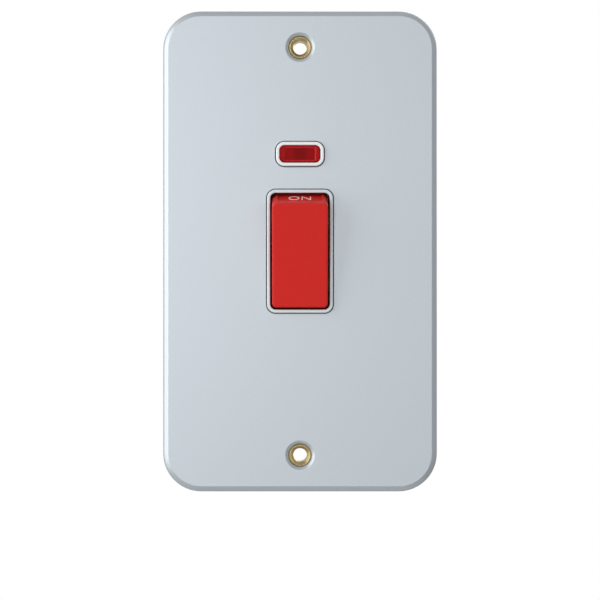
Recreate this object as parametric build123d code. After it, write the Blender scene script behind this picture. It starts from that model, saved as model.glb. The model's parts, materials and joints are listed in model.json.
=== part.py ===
from build123d import *
import math
import os

# Metal clad double pole switch with a neon, on a vertical two-gang plate. Sizes are in millimetres.
# +X is right, +Z is up and +Y points into the wall, so the front faces -Y.
# The origin is the middle of the plane where the plate's rim meets its mounting box.
# The rocker is built in its ON position, top end proud.

# Front plate, pressed from sheet
PLATE_WIDTH = 81.1
PLATE_HEIGHT = 142.2
PLATE_DEPTH = 7.0
SHEET = 1.2
CORNER_RADIUS = 11.3
BEVEL_WIDTH = 1.6
BEVEL_DEPTH = 1.3
FIXING_MARGIN = 10.8

# Brass fixing bushes riveted into the plate
BUSH_BORE = 4.1
BUSH_SPIGOT = 6.8
BUSH_LIP = 0.5
BUSH_EDGE = 0.35
BUSH_BODY = 9.0
BUSH_SINK = 0.7
BUSH_FIT = 0.03
DIMPLE = 0.85

# Earth strap
STRAP_THICKNESS = 0.8
STRAP_RING = 12.0
STRAP_WIDTH = 8.0
EARTH_PITCH = 20.0
EARTH_RISE = 15.3

# Earth terminals
EARTH_WIDTH = 8.0
EARTH_LENGTH = 9.0
EARTH_BORE = 4.5
EARTH_BORE_ABOVE_RIM = 1.0
EARTH_THREAD_WALL = 3.5
EARTH_TENON = 3.0
EARTH_SCREW = 4.0
EARTH_SCREW_HEAD = 6.4
EARTH_SCREW_HEAD_HEIGHT = 2.4

# Rocker
ROCKER_WIDTH = 16.4
ROCKER_FACE_LENGTH = 30.5
ROCKER_RISE = 10.0
ROCKER_DISH = 0.2
ROCKER_END_DRAFT = 16.0
ROCKER_TILT = 8.0
ROCKER_WALL = 1.7
ROCKER_SKIRT = 1.0
ROCKER_CORNER = 1.2
ROCKER_EDGE = 0.55
PIVOT_BEHIND_FACE = 5.5
TRUNNION = 4.0
TRUNNION_END_GAP = 0.25
LUG_MARGIN = 0.85
LEGEND_WIDTH = 12.8
LEGEND_FROM_CREASE = 2.2
LEGEND_SLOPE = 5.0

# Switch frame with its bezel
ROCKER_SIDE_GAP = 0.55
ROCKER_END_GAP = 0.22
BEZEL_WALL = 0.95
BEZEL_PROUD = 1.3
BEZEL_RADIUS = 2.5
BEZEL_EDGE = 0.2
APERTURE_GAP = 0.36
FRAME_CAVITY_GAP = 0.5
FRAME_WALL = 1.8
FRAME_FLANGE = 1.8
FRAME_REACH = 4.0
POST_WIDTH = 6.0
POST_LENGTH = 8.0

# Spring plungers
PLUNGER = 4.2
PLUNGER_REACH = 12.0
PLUNGER_SHOULDER = 0.5
PLUNGER_TIP_RADIUS = 0.8
SLEEVE_WALL = 0.9
SLEEVE_REACH = 6.5
SPRING_SEAT = 2.5
SPRING_WIRE = 0.5
SPRING_TURNS = 4
SPRING_CHORDS = 12
SPRING_SIDE_GAP = 0.1

# Moving and fixed contacts
BLADE_WIDTH = 5.4
BLADE_THICKNESS = 1.6
BLADE_TOP = 13.6
BLADE_TAIL = 9.0
BLADE_CORNER = 1.4
CONTACT_ARM = 11.2
CONTACT = 4.0
CONTACT_THICKNESS = 0.7
CONTACT_GAP = 0.03
NOSE_RADIUS = 1.0
GROOVE_DEPTH = 0.7
MID_THROW_GAP = 0.12

# Main terminals and their screws
TERMINAL_WIDTH = 10.0
TERMINAL_LENGTH = 14.0
TERMINAL_INSET = 6.0
TERMINAL_CHAMFER = 0.4
CONDUCTOR_BORE = 6.0
BORE_FLOOR = 3.0
THREAD_WALL = 5.0
ARM_WIDTH = 6.0
ARM_THICKNESS = 2.0
PAD_THICKNESS = 0.55
SCREW = 5.0
SCREW_HEAD = 7.0
SCREW_HEAD_HEIGHT = 3.0
SCREW_TIP_GAP = 0.2
SCREW_END_GAP = 0.2
HEAD_SLOT_WIDTH = 1.0
HEAD_SLOT_DEPTH = 1.2
HEAD_SLOT_TURN = 37.0

# Switch base
BASE_WALL = 2.4
BASE_FLOOR = 2.8
BASE_CORNER = 2.0
PARTITION = 1.2
BARRIER = 1.0
BARRIER_GAP = 0.4
BARRIER_BEHIND_PIVOT = 2.5
SADDLE_BEHIND_PIVOT = 1.0
CHAMBER_GAP = 1.2
ENTRY = 6.8
ACCESS_BORE = 8.0
TOWER_WALL = 2.4
TOWER_CHAMFER = 1.6
TOWER_LIP = 0.6
RIB = 1.6
RIB_END_GAP = 3.0

# Ears of both mouldings, the plate's welded studs and their nuts
EAR_RADIUS = 4.5
EAR_THICKNESS = 5.6
EAR_OVERHANG = 3.2
STUD = 3.0
STUD_BEYOND_NUT = 0.8
NUT_WIDTH = 5.5
NUT_HEIGHT = 2.4

# Neon
NEON_LENS_WIDTH = 12.0
NEON_LENS_HEIGHT = 5.0
NEON_LENS_RADIUS = 1.5
NEON_LENS_EDGE = 0.2
NEON_LENS_SINK = 0.3
NEON_LENS_FLANGE = 0.4
NEON_LENS_FLANGE_THICKNESS = 1.0
NEON_PANEL_WIDTH = 8.8
NEON_PANEL_HEIGHT = 3.2
NEON_PANEL_DEPTH = 0.4
NEON_PANEL_SLOPE = 45.0
NEON_WALL = 0.95
NEON_RADIUS = 2.5
NEON_PROUD = 1.0
NEON_EDGE = 0.2
NEON_FLANGE = 2.0
NEON_FLANGE_THICKNESS = 1.0
NEON_BODY_DEPTH = 13.3
NEON_SPACING = 2.55
NEON_CARRIER = 4.0
LAMP = 3.6
LAMP_LENGTH = 9.0
LAMP_BEHIND_LENS = 0.4
CAP_LEG = 1.1
RESISTOR = 2.4
RESISTOR_LENGTH = 6.4
LEAD = 1.8
LEAD_SIDES = 8
LEAD_BEND = 4.5
LEAD_BEND_CHORDS = 4
LEAD_HOLE_GAP = 0.2
LEAD_FROM_REAR = 2.3
LEAD_INSET = 1.9

# Clearances shared by several pieces
RUNNING_GAP = 0.05
MOULD_FIT = 0.2
LENS_FIT = 0.1
SEAT_GAP = 0.02

# Levels along the depth, from the front to the rear
FACE_Y = -PLATE_DEPTH
SHEET_BACK_Y = FACE_Y + SHEET
BEZEL_FRONT_Y = FACE_Y - BEZEL_PROUD
FLANGE_BACK_Y = SHEET_BACK_Y + FRAME_FLANGE
PIVOT_Y = FACE_Y + PIVOT_BEHIND_FACE
FRAME_REAR_Y = PIVOT_Y + FRAME_REACH
WELL_FLOOR_Y = FRAME_REAR_Y + MOULD_FIT

# Rocker shape in its own level position, measured from the pivot
ROCKER_HALF = ROCKER_FACE_LENGTH / 2
DRAFT = math.radians(ROCKER_END_DRAFT)
TILT = math.radians(ROCKER_TILT)
SKIRT_RADIUS = ROCKER_HALF * math.cos(DRAFT) + ROCKER_RISE * math.sin(DRAFT)
WAIST_Y = -SKIRT_RADIUS * math.sin(DRAFT)
WAIST_Z = SKIRT_RADIUS * math.cos(DRAFT)

# Bezel opening: the pressed end of the rocker is nearest to it at the back of the sheet
PRESSED = DRAFT - TILT
LIP_REAR_RISE = PIVOT_Y - SHEET_BACK_Y
PRESSED_REACH = (SKIRT_RADIUS - LIP_REAR_RISE * math.sin(PRESSED)) / math.cos(PRESSED)
OPENING_WIDTH = ROCKER_WIDTH + 2 * ROCKER_SIDE_GAP
OPENING_HEIGHT = 2 * (PRESSED_REACH + ROCKER_END_GAP)
BEZEL_WIDTH = OPENING_WIDTH + 2 * BEZEL_WALL
BEZEL_HEIGHT = OPENING_HEIGHT + 2 * BEZEL_WALL
FRAME_HALF_X = OPENING_WIDTH / 2 + FRAME_WALL
CAVITY_HALF_Z = SKIRT_RADIUS + FRAME_CAVITY_GAP
FRAME_HALF_Z = CAVITY_HALF_Z + FRAME_WALL

# Poles
SLEEVE_BORE = PLUNGER + 2 * RUNNING_GAP
SLEEVE = SLEEVE_BORE + 2 * SLEEVE_WALL
POLE_X = BARRIER / 2 + BARRIER_GAP + SLEEVE / 2
BLADE_REAR = -(NOSE_RADIUS + RUNNING_GAP - GROOVE_DEPTH)
BLADE_FRONT = BLADE_REAR - BLADE_THICKNESS
FULCRUM_Y = PIVOT_Y + PLUNGER_REACH + MID_THROW_GAP - BLADE_FRONT
TIP_FACE = BLADE_REAR + CONTACT_THICKNESS
BUTTON_REAR = TIP_FACE + CONTACT_GAP + CONTACT_THICKNESS
CONTACT_Z = CONTACT_ARM * math.cos(TILT) - BUTTON_REAR * math.sin(TILT)
CONTACT_Y = FULCRUM_Y + CONTACT_ARM * math.sin(TILT) + BUTTON_REAR * math.cos(TILT)

# Terminals sit beside the switch frame, their arms reach under the blades
ARM_FRONT_Y = CONTACT_Y + PAD_THICKNESS
ARM_REAR_Y = ARM_FRONT_Y + ARM_THICKNESS
CONDUCTOR_Y = ARM_REAR_Y - THREAD_WALL - CONDUCTOR_BORE / 2
TERMINAL_FRONT_Y = CONDUCTOR_Y - CONDUCTOR_BORE / 2 - BORE_FLOOR
WELL_HALF_X = FRAME_HALF_X + MOULD_FIT
WELL_HALF_Z = FRAME_HALF_Z + MOULD_FIT
POCKET_X = WELL_HALF_X + PARTITION
POCKET_FAR_X = POCKET_X + 2 * MOULD_FIT + TERMINAL_WIDTH
TERMINAL_X = POCKET_X + MOULD_FIT + TERMINAL_WIDTH / 2
TERMINAL_Z = TERMINAL_INSET + TERMINAL_LENGTH / 2
TERMINAL_END_Z = TERMINAL_INSET + TERMINAL_LENGTH

# Each clamping screw travels from above its bore until the edge of its tip is just off the bore's round floor
SCREW_FLOOR = math.sqrt((CONDUCTOR_BORE / 2) ** 2 - (SCREW / 2) ** 2)
SCREW_TRAVEL = SCREW_TIP_GAP + CONDUCTOR_BORE / 2 + SCREW_FLOOR - SCREW_END_GAP
SCREW_HEAD_Y = ARM_REAR_Y + MOULD_FIT + SCREW_TRAVEL
EARTH_SCREW_FLOOR = math.sqrt((EARTH_BORE / 2) ** 2 - (EARTH_SCREW / 2) ** 2)
EARTH_SCREW_TRAVEL = SCREW_TIP_GAP + EARTH_BORE / 2 + EARTH_SCREW_FLOOR - SCREW_END_GAP

# Base outline
BASE_HALF_X = POCKET_FAR_X + BASE_WALL
BASE_HALF_Z = max(TERMINAL_END_Z, FRAME_HALF_Z) + MOULD_FIT + BASE_WALL
BASE_FLOOR_Y = ARM_REAR_Y + SEAT_GAP
BASE_REAR_Y = BASE_FLOOR_Y + BASE_FLOOR
TOWER_REAR_Y = SCREW_HEAD_Y + SCREW_HEAD_HEIGHT + TOWER_LIP
CHAMBER_HALF_X = POLE_X + BLADE_WIDTH / 2 + CHAMBER_GAP
CHAMBER_HALF_Z = BLADE_TOP + CHAMBER_GAP

# Ears, studs and nuts
EAR_X = BASE_HALF_X - EAR_RADIUS
EAR_Z = BASE_HALF_Z + EAR_OVERHANG
EAR_REAR_Y = FLANGE_BACK_Y + EAR_THICKNESS
EAR_PLACES = [(x, z) for x in (-EAR_X, EAR_X) for z in (EAR_Z, -EAR_Z)]
STUD_END_Y = EAR_REAR_Y + NUT_HEIGHT + STUD_BEYOND_NUT
STUD_HOLE = STUD + 2 * MOULD_FIT

# Neon place and levels
NEON_WIDTH = NEON_LENS_WIDTH + 2 * LENS_FIT + 2 * NEON_WALL
NEON_HEIGHT = NEON_LENS_HEIGHT + 2 * LENS_FIT + 2 * NEON_WALL
NEON_Z = BASE_HALF_Z + NEON_SPACING + NEON_HEIGHT / 2
NEON_FRONT_Y = FACE_Y - NEON_PROUD
NEON_REAR_Y = SHEET_BACK_Y + NEON_BODY_DEPTH
LENS_FRONT_Y = NEON_FRONT_Y + NEON_LENS_SINK
LENS_STEP_Y = SHEET_BACK_Y
LENS_REAR_Y = LENS_STEP_Y + NEON_LENS_FLANGE_THICKNESS
LAMP_Y = LENS_REAR_Y + LAMP_BEHIND_LENS + LAMP / 2
LEAD_Y = NEON_REAR_Y - LEAD_FROM_REAR
LEAD_X = TERMINAL_X - TERMINAL_WIDTH / 2 + LEAD_INSET

# Fixing and earth places
FIXING_PITCH = PLATE_HEIGHT - 2 * FIXING_MARGIN
FIXING_Z = FIXING_PITCH / 2
EARTH_Z = -FIXING_Z + EARTH_RISE
STRAP_BACK_Y = SHEET_BACK_Y + STRAP_THICKNESS
EARTH_BORE_Y = EARTH_BORE_ABOVE_RIM + EARTH_BORE / 2
EARTH_REAR_Y = EARTH_BORE_Y + EARTH_BORE / 2 + EARTH_THREAD_WALL
EARTH_HEAD_Y = EARTH_REAR_Y + MOULD_FIT + EARTH_SCREW_TRAVEL

# Overrun of a cut past the face it opens, and how near an edge lies to count as on a plane
EPS = 0.5
TOUCH = 0.01


def at_depth(y):
    """Plane facing the front at a depth, with X right and Z up."""
    return Plane(origin=(0, y, 0), x_dir=(1, 0, 0), z_dir=(0, -1, 0))


def slab(outline, front, rear):
    """Outline drawn as seen from the front, from one depth to another."""
    return extrude(at_depth(rear) * outline, amount=rear - front)


def block(x0, x1, y0, y1, z0, z1):
    """Box between six planes."""
    middle = Pos((x0 + x1) / 2, (y0 + y1) / 2, (z0 + z1) / 2)
    return middle * Box(abs(x1 - x0), abs(y1 - y0), abs(z1 - z0))


def drum(diameter, front, rear, x=0.0, z=0.0):
    """Cylinder along the depth."""
    return slab(Pos(x, z) * Circle(diameter / 2), front, rear)


def rod_x(radius, x0, x1, y, z):
    """Cylinder along X."""
    return Pos((x0 + x1) / 2, y, z) * Rot(0, 90, 0) * Cylinder(radius, abs(x1 - x0))


def rod_z(radius, x, y, z0, z1):
    """Cylinder along Z."""
    return Pos(x, y, (z0 + z1) / 2) * Cylinder(radius, abs(z1 - z0))


def turned(*points):
    """Solid of revolution about the depth axis from radius and depth pairs."""
    return revolve(make_face(Polyline(*points, close=True)), Axis.Y)


def cheese_screw(shank, head, height, head_front, tip, angle):
    """Slotted cheese head screw along the depth with its tip towards the front."""
    rear = head_front + height
    solid = turned(
        (0, tip),
        (shank / 2, tip),
        (shank / 2, head_front),
        (head / 2, head_front),
        (head / 2, rear),
        (0, rear),
    )
    slot = Rot(0, 0, angle) * Rectangle(head + 2 * EPS, HEAD_SLOT_WIDTH)
    return solid - slab(slot, rear - HEAD_SLOT_DEPTH, rear + EPS)


def front_plate():
    """Pressed tray with a bevelled front edge, two apertures and two dimpled fixing holes."""
    slope = math.degrees(math.atan2(BEVEL_WIDTH, BEVEL_DEPTH))
    outline = RectangleRounded(PLATE_WIDTH, PLATE_HEIGHT, CORNER_RADIUS)
    shoulder = FACE_Y + BEVEL_DEPTH
    shell = slab(outline, shoulder, 0)
    shell += extrude(at_depth(shoulder) * outline, amount=BEVEL_DEPTH, taper=slope)
    spread = 1 + SHEET * math.hypot(1 / BEVEL_WIDTH, 1 / BEVEL_DEPTH)
    inner_shoulder = FACE_Y + BEVEL_DEPTH * (spread - SHEET / BEVEL_WIDTH)
    inner = RectangleRounded(PLATE_WIDTH - 2 * SHEET, PLATE_HEIGHT - 2 * SHEET, CORNER_RADIUS - SHEET)
    shell -= slab(inner, inner_shoulder, EPS)
    shell -= extrude(at_depth(inner_shoulder) * inner, amount=inner_shoulder - SHEET_BACK_Y, taper=slope)
    gap = 2 * APERTURE_GAP
    window = RectangleRounded(BEZEL_WIDTH + gap, BEZEL_HEIGHT + gap, BEZEL_RADIUS + APERTURE_GAP)
    neon = RectangleRounded(NEON_WIDTH + gap, NEON_HEIGHT + gap, NEON_RADIUS + APERTURE_GAP)
    shell -= slab(window + Pos(0, NEON_Z) * neon, FACE_Y - EPS, SHEET_BACK_Y + EPS)
    hole = BUSH_SPIGOT + 2 * BUSH_FIT
    for z in (FIXING_Z, -FIXING_Z):
        shell -= drum(hole, FACE_Y - EPS, SHEET_BACK_Y + EPS, 0, z)
    lips = shell.edges().filter_by(GeomType.CIRCLE)
    lips = lips.filter_by(lambda e: abs(e.radius - hole / 2) < TOUCH and e.center().Y < FACE_Y + TOUCH)
    return chamfer(lips, DIMPLE)


def fixing_bush(z, seat):
    """Turned bush with a riveted front spigot, its body seated behind the plate or the strap."""
    front = FACE_Y + BUSH_SINK
    mouth = BUSH_SPIGOT / 2 - BUSH_LIP
    bore = BUSH_BORE / 2
    solid = turned(
        (bore, 0),
        (bore, front + mouth - bore),
        (mouth, front),
        (BUSH_SPIGOT / 2 - BUSH_EDGE, front),
        (BUSH_SPIGOT / 2, front + BUSH_EDGE),
        (BUSH_SPIGOT / 2, seat),
        (BUSH_BODY / 2, seat),
        (BUSH_BODY / 2, 0),
    )
    return Pos(0, 0, z) * solid


def earth_strap():
    """T-shaped strap from the lower bush to the two earth terminals."""
    outline = Pos(0, -FIXING_Z) * Circle(STRAP_RING / 2)
    outline += Pos(0, (EARTH_Z - FIXING_Z) / 2) * Rectangle(STRAP_WIDTH, EARTH_RISE)
    outline += Pos(0, EARTH_Z) * Rectangle(EARTH_PITCH + EARTH_WIDTH, STRAP_WIDTH)
    outline -= Pos(0, -FIXING_Z) * Circle(BUSH_SPIGOT / 2 + BUSH_FIT)
    mortise = EARTH_TENON + 2 * BUSH_FIT
    for side in (-1, 1):
        outline -= Pos(side * EARTH_PITCH / 2, EARTH_Z) * Rectangle(mortise, mortise)
    return slab(outline, SHEET_BACK_Y, STRAP_BACK_Y)


def earth_terminal(side):
    """Brass pillar with a tenon staked into the strap, a conductor bore and a tapped hole."""
    x = side * EARTH_PITCH / 2
    half_x = EARTH_WIDTH / 2
    half_z = EARTH_LENGTH / 2
    solid = block(x - half_x, x + half_x, STRAP_BACK_Y, EARTH_REAR_Y, EARTH_Z - half_z, EARTH_Z + half_z)
    solid = chamfer(solid.edges().filter_by(Axis.Y), TERMINAL_CHAMFER)
    tenon = Pos(x, EARTH_Z) * Rectangle(EARTH_TENON, EARTH_TENON)
    solid += slab(tenon, SHEET_BACK_Y, STRAP_BACK_Y)
    solid -= rod_z(EARTH_BORE / 2, x, EARTH_BORE_Y, EARTH_Z - half_z - EPS, EARTH_Z + half_z + EPS)
    solid -= drum(EARTH_SCREW + 2 * RUNNING_GAP, EARTH_BORE_Y, EARTH_REAR_Y + EPS, x, EARTH_Z)
    return solid


def earth_screw(side):
    """Clamping screw of one earth terminal, backed out."""
    tip = EARTH_BORE_Y + EARTH_BORE / 2 + SCREW_TIP_GAP
    turn = side * HEAD_SLOT_TURN
    solid = cheese_screw(EARTH_SCREW, EARTH_SCREW_HEAD, EARTH_SCREW_HEAD_HEIGHT, EARTH_HEAD_Y, tip, turn)
    return Pos(side * EARTH_PITCH / 2, 0, EARTH_Z) * solid


def plate_studs():
    """Four studs welded to the back of the plate."""
    return Compound([drum(STUD, SHEET_BACK_Y, STUD_END_Y, x, z).solid() for x, z in EAR_PLACES])


def stud_nuts():
    """Four nuts that hold both mouldings on the studs."""
    outline = RegularPolygon(NUT_WIDTH / 2, 6, major_radius=False) - Circle(STUD / 2 + RUNNING_GAP)
    nut = slab(outline, EAR_REAR_Y, EAR_REAR_Y + NUT_HEIGHT)
    return Compound([(Pos(x, 0, z) * nut).solid() for x, z in EAR_PLACES])


def rocker_top():
    """Side view of the rocker's dished face and drafted ends, about its pivot, level."""
    face = -ROCKER_RISE
    dish = ThreePointArc((face, -ROCKER_HALF), (face + ROCKER_DISH, 0), (face, ROCKER_HALF))
    ends = Polyline((face, ROCKER_HALF), (WAIST_Y, WAIST_Z), (WAIST_Y, -WAIST_Z), (face, -ROCKER_HALF))
    return make_face([dish, ends])


def rocker_skirt():
    """Side view of the skirt, round about the pivot so that its gap to the frame stays the same."""
    rear_z = math.sqrt(SKIRT_RADIUS**2 - ROCKER_SKIRT**2)
    middle_y = -SKIRT_RADIUS * math.sin(DRAFT / 2)
    middle_z = SKIRT_RADIUS * math.cos(DRAFT / 2)
    front = Line((WAIST_Y, -WAIST_Z), (WAIST_Y, WAIST_Z))
    rear = Line((ROCKER_SKIRT, rear_z), (ROCKER_SKIRT, -rear_z))
    lines = [front, rear]
    for end in (1, -1):
        middle = (middle_y, end * middle_z)
        lines.append(ThreePointArc((WAIST_Y, end * WAIST_Z), middle, (ROCKER_SKIRT, end * rear_z)))
    return make_face(lines)


def rocker_hollow(deep):
    """Side view of the space inside the rocker, from the depth under its face to past its skirt."""
    lean = math.tan(DRAFT)
    end_wall = ROCKER_WALL / math.cos(DRAFT)
    deep_z = ROCKER_HALF + (deep + ROCKER_RISE) * lean - end_wall
    wide_z = SKIRT_RADIUS - ROCKER_WALL
    wide = min(-ROCKER_RISE + (wide_z - ROCKER_HALF + end_wall) / lean, ROCKER_SKIRT)
    outline = Polyline(
        (deep, deep_z),
        (wide, wide_z),
        (ROCKER_SKIRT + EPS, wide_z),
        (ROCKER_SKIRT + EPS, -wide_z),
        (wide, -wide_z),
        (deep, -deep_z),
        close=True,
    )
    return make_face(outline)


def end_corners(solid):
    """Edges between the sides and the ends of a part of the rocker."""
    on_side = solid.edges().filter_by(lambda e: abs(abs(e.center().X) - ROCKER_WIDTH / 2) < TOUCH)
    return on_side.filter_by(lambda e: abs(e.center().Z) > ROCKER_HALF)


def rocker():
    """Hollow rocker with trunnions and two plunger sleeves, tilted to ON."""
    half = ROCKER_WIDTH / 2
    solid = extrude(Plane.YZ * rocker_top(), amount=half, both=True)
    solid = fillet(end_corners(solid), ROCKER_CORNER)
    front = solid.edges().filter_by(lambda e: e.center().Y < -ROCKER_RISE + ROCKER_DISH + TOUCH)
    solid = fillet(front, ROCKER_EDGE)
    skirt = extrude(Plane.YZ * rocker_skirt(), amount=half, both=True)
    solid += chamfer(end_corners(skirt), ROCKER_CORNER)
    inner = half - ROCKER_WALL
    deep = -ROCKER_RISE + ROCKER_DISH + ROCKER_WALL
    solid -= extrude(Plane.YZ * rocker_hollow(deep), amount=inner, both=True)
    lug = TRUNNION / 2 + LUG_MARGIN
    tip = FRAME_HALF_X - TRUNNION_END_GAP
    for side in (-1, 1):
        solid += block(side * inner, side * half, 0, lug, -lug, lug)
        solid += rod_x(TRUNNION / 2, side * inner, side * tip, 0, 0)
        sleeve = Pos(side * POLE_X, 0) * Rectangle(SLEEVE, SLEEVE)
        solid += slab(sleeve, deep - EPS, SLEEVE_REACH)
        solid -= drum(SLEEVE_BORE, -ROCKER_RISE + SPRING_SEAT, SLEEVE_REACH + EPS, side * POLE_X, 0)
    sunk = block(-LEGEND_WIDTH / 2, LEGEND_WIDTH / 2, 0, ROCKER_RISE, 0, ROCKER_WALL)
    down = Pos(0, -ROCKER_RISE, ROCKER_HALF) * Rot(ROCKER_END_DRAFT, 0, 0)
    solid -= down * Pos(0, LEGEND_FROM_CREASE, 0) * Rot(-LEGEND_SLOPE, 0, 0) * sunk
    return Pos(0, PIVOT_Y, 0) * Rot(ROCKER_TILT, 0, 0) * solid


def in_rocker(solid, side):
    """Place a piece of one pole that tilts with the rocker."""
    return Pos(0, PIVOT_Y, 0) * Rot(ROCKER_TILT, 0, 0) * Pos(side * POLE_X, 0, 0) * solid


def plunger(side):
    """Round plunger with a square wedge nose whose round ridge rolls over the blade."""
    half = PLUNGER / 2
    ridge = PLUNGER_TIP_RADIUS * math.sin(math.pi / 4)
    ridge_y = PLUNGER_REACH - PLUNGER_TIP_RADIUS + ridge
    wedge_y = ridge_y - half + ridge
    flanks = Polyline(
        (ridge_y, -ridge),
        (wedge_y, -half),
        (PLUNGER_SHOULDER, -half),
        (PLUNGER_SHOULDER, half),
        (wedge_y, half),
        (ridge_y, ridge),
    )
    nose = make_face([flanks, ThreePointArc((ridge_y, ridge), (PLUNGER_REACH, 0), (ridge_y, -ridge))])
    solid = extrude(Plane.YZ * nose, amount=half, both=True) & drum(PLUNGER, PLUNGER_SHOULDER, PLUNGER_REACH)
    return in_rocker(solid, side)


def plunger_spring(side):
    """Coil spring between the rocker and the plunger, wound in short straight lengths."""
    wire_corner = SPRING_WIRE / math.sqrt(2)
    radius = SLEEVE_BORE / 2 - SPRING_SIDE_GAP - wire_corner
    start = -ROCKER_RISE + SPRING_SEAT + wire_corner + SEAT_GAP
    height = PLUNGER_SHOULDER - wire_corner - SEAT_GAP - start
    count = SPRING_TURNS * SPRING_CHORDS
    points = []
    for step in range(count + 1):
        angle = 2 * math.pi * step / SPRING_CHORDS
        points.append((radius * math.cos(angle), start + height * step / count, radius * math.sin(angle)))
    path = Polyline(*points)
    section = Plane(origin=path @ 0, x_dir=(1, 0, 0), z_dir=path % 0) * Rectangle(SPRING_WIRE, SPRING_WIRE)
    return in_rocker(sweep(section, path=path, transition=Transition.RIGHT), side)


def on_fulcrum(solid, side):
    """Place a piece of one pole that lies on the tilted blade."""
    return Pos(side * POLE_X, FULCRUM_Y, 0) * Rot(-ROCKER_TILT, 0, 0) * solid


def moving_contact(side):
    """Copper blade that rocks on the fulcrum nose."""
    half = BLADE_WIDTH / 2
    solid = block(-half, half, BLADE_FRONT, BLADE_REAR, -BLADE_TAIL, BLADE_TOP)
    solid = chamfer(solid.edges().filter_by(Axis.Y), BLADE_CORNER)
    solid -= rod_x(NOSE_RADIUS + RUNNING_GAP, -half - EPS, half + EPS, 0, 0)
    return on_fulcrum(solid, side)


def moving_tip(side):
    """Silver tip brazed to the top of the blade."""
    tip = Pos(0, CONTACT_ARM) * Rectangle(CONTACT, CONTACT)
    return on_fulcrum(slab(tip, BLADE_REAR, TIP_FACE), side)


def fixed_contact(side):
    """Silver tip on the load terminal's arm, square to the closed blade."""
    tip = Pos(0, CONTACT_ARM) * Rectangle(CONTACT, CONTACT)
    return on_fulcrum(slab(tip, TIP_FACE + CONTACT_GAP, BUTTON_REAR), side)


def terminal_body(side, end):
    """Brass block of one terminal."""
    x = side * TERMINAL_X
    half = TERMINAL_WIDTH / 2
    z0 = end * TERMINAL_INSET
    z1 = end * TERMINAL_END_Z
    solid = block(x - half, x + half, TERMINAL_FRONT_Y, ARM_REAR_Y, z0, z1)
    return chamfer(solid.edges().filter_by(Axis.Z), TERMINAL_CHAMFER)


def terminal_holes(side, end):
    """Conductor bore along Z and screw hole from the rear."""
    x = side * TERMINAL_X
    z0 = end * (TERMINAL_INSET - EPS)
    z1 = end * (TERMINAL_END_Z + EPS)
    holes = rod_z(CONDUCTOR_BORE / 2, x, CONDUCTOR_Y, z0, z1)
    return holes + drum(SCREW + 2 * RUNNING_GAP, CONDUCTOR_Y, ARM_REAR_Y + EPS, x, end * TERMINAL_Z)


def load_terminal(side):
    """Upper terminal whose arm carries the fixed contact."""
    solid = terminal_body(side, 1)
    inner = POLE_X - BLADE_WIDTH / 2
    low = CONTACT_Z - ARM_WIDTH / 2
    high = CONTACT_Z + ARM_WIDTH / 2
    solid += block(side * inner, side * TERMINAL_X, ARM_FRONT_Y, ARM_REAR_Y, low, high)
    half = BLADE_WIDTH / 2
    reach = CONTACT / 2 + PAD_THICKNESS
    pad_rear = BUTTON_REAR + ARM_THICKNESS
    pad = block(-half, half, BUTTON_REAR, pad_rear, CONTACT_ARM - reach, CONTACT_ARM + reach)
    beyond = block(
        side * inner - TERMINAL_X,
        side * inner + TERMINAL_X,
        ARM_REAR_Y,
        ARM_REAR_Y + TERMINAL_WIDTH,
        low - ARM_WIDTH,
        high + ARM_WIDTH,
    )
    solid += on_fulcrum(pad, side) - beyond
    return solid - terminal_holes(side, 1)


def supply_terminal(side):
    """Lower terminal whose arm ends in the fulcrum nose under the blade."""
    solid = terminal_body(side, -1)
    inner = side * (POLE_X - BLADE_WIDTH / 2)
    outer = side * (POLE_X + BLADE_WIDTH / 2)
    low = -TERMINAL_INSET - ARM_WIDTH
    solid += block(inner, side * TERMINAL_X, ARM_FRONT_Y, ARM_REAR_Y, low, -TERMINAL_INSET)
    solid += block(inner, outer, ARM_FRONT_Y, ARM_REAR_Y, low, NOSE_RADIUS)
    solid += block(inner, outer, FULCRUM_Y, ARM_REAR_Y, -NOSE_RADIUS, NOSE_RADIUS)
    solid += rod_x(NOSE_RADIUS, inner, outer, FULCRUM_Y, 0)
    return solid - terminal_holes(side, -1)


def terminal_screw(side, end):
    """Clamping screw of one main terminal, backed out."""
    tip = CONDUCTOR_Y + CONDUCTOR_BORE / 2 + SCREW_TIP_GAP
    turn = (side + 2 * end) * HEAD_SLOT_TURN
    solid = cheese_screw(SCREW, SCREW_HEAD, SCREW_HEAD_HEIGHT, SCREW_HEAD_Y, tip, turn)
    return Pos(side * TERMINAL_X, 0, end * TERMINAL_Z) * solid


def moulding_outline():
    """Rounded rectangle of both mouldings with four round ears on necks."""
    outline = RectangleRounded(2 * BASE_HALF_X, 2 * BASE_HALF_Z, BASE_CORNER)
    for x, z in EAR_PLACES:
        outline += Pos(x, z) * Circle(EAR_RADIUS) + Pos(x, z / 2) * Rectangle(2 * EAR_RADIUS, abs(z))
    return outline


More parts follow.
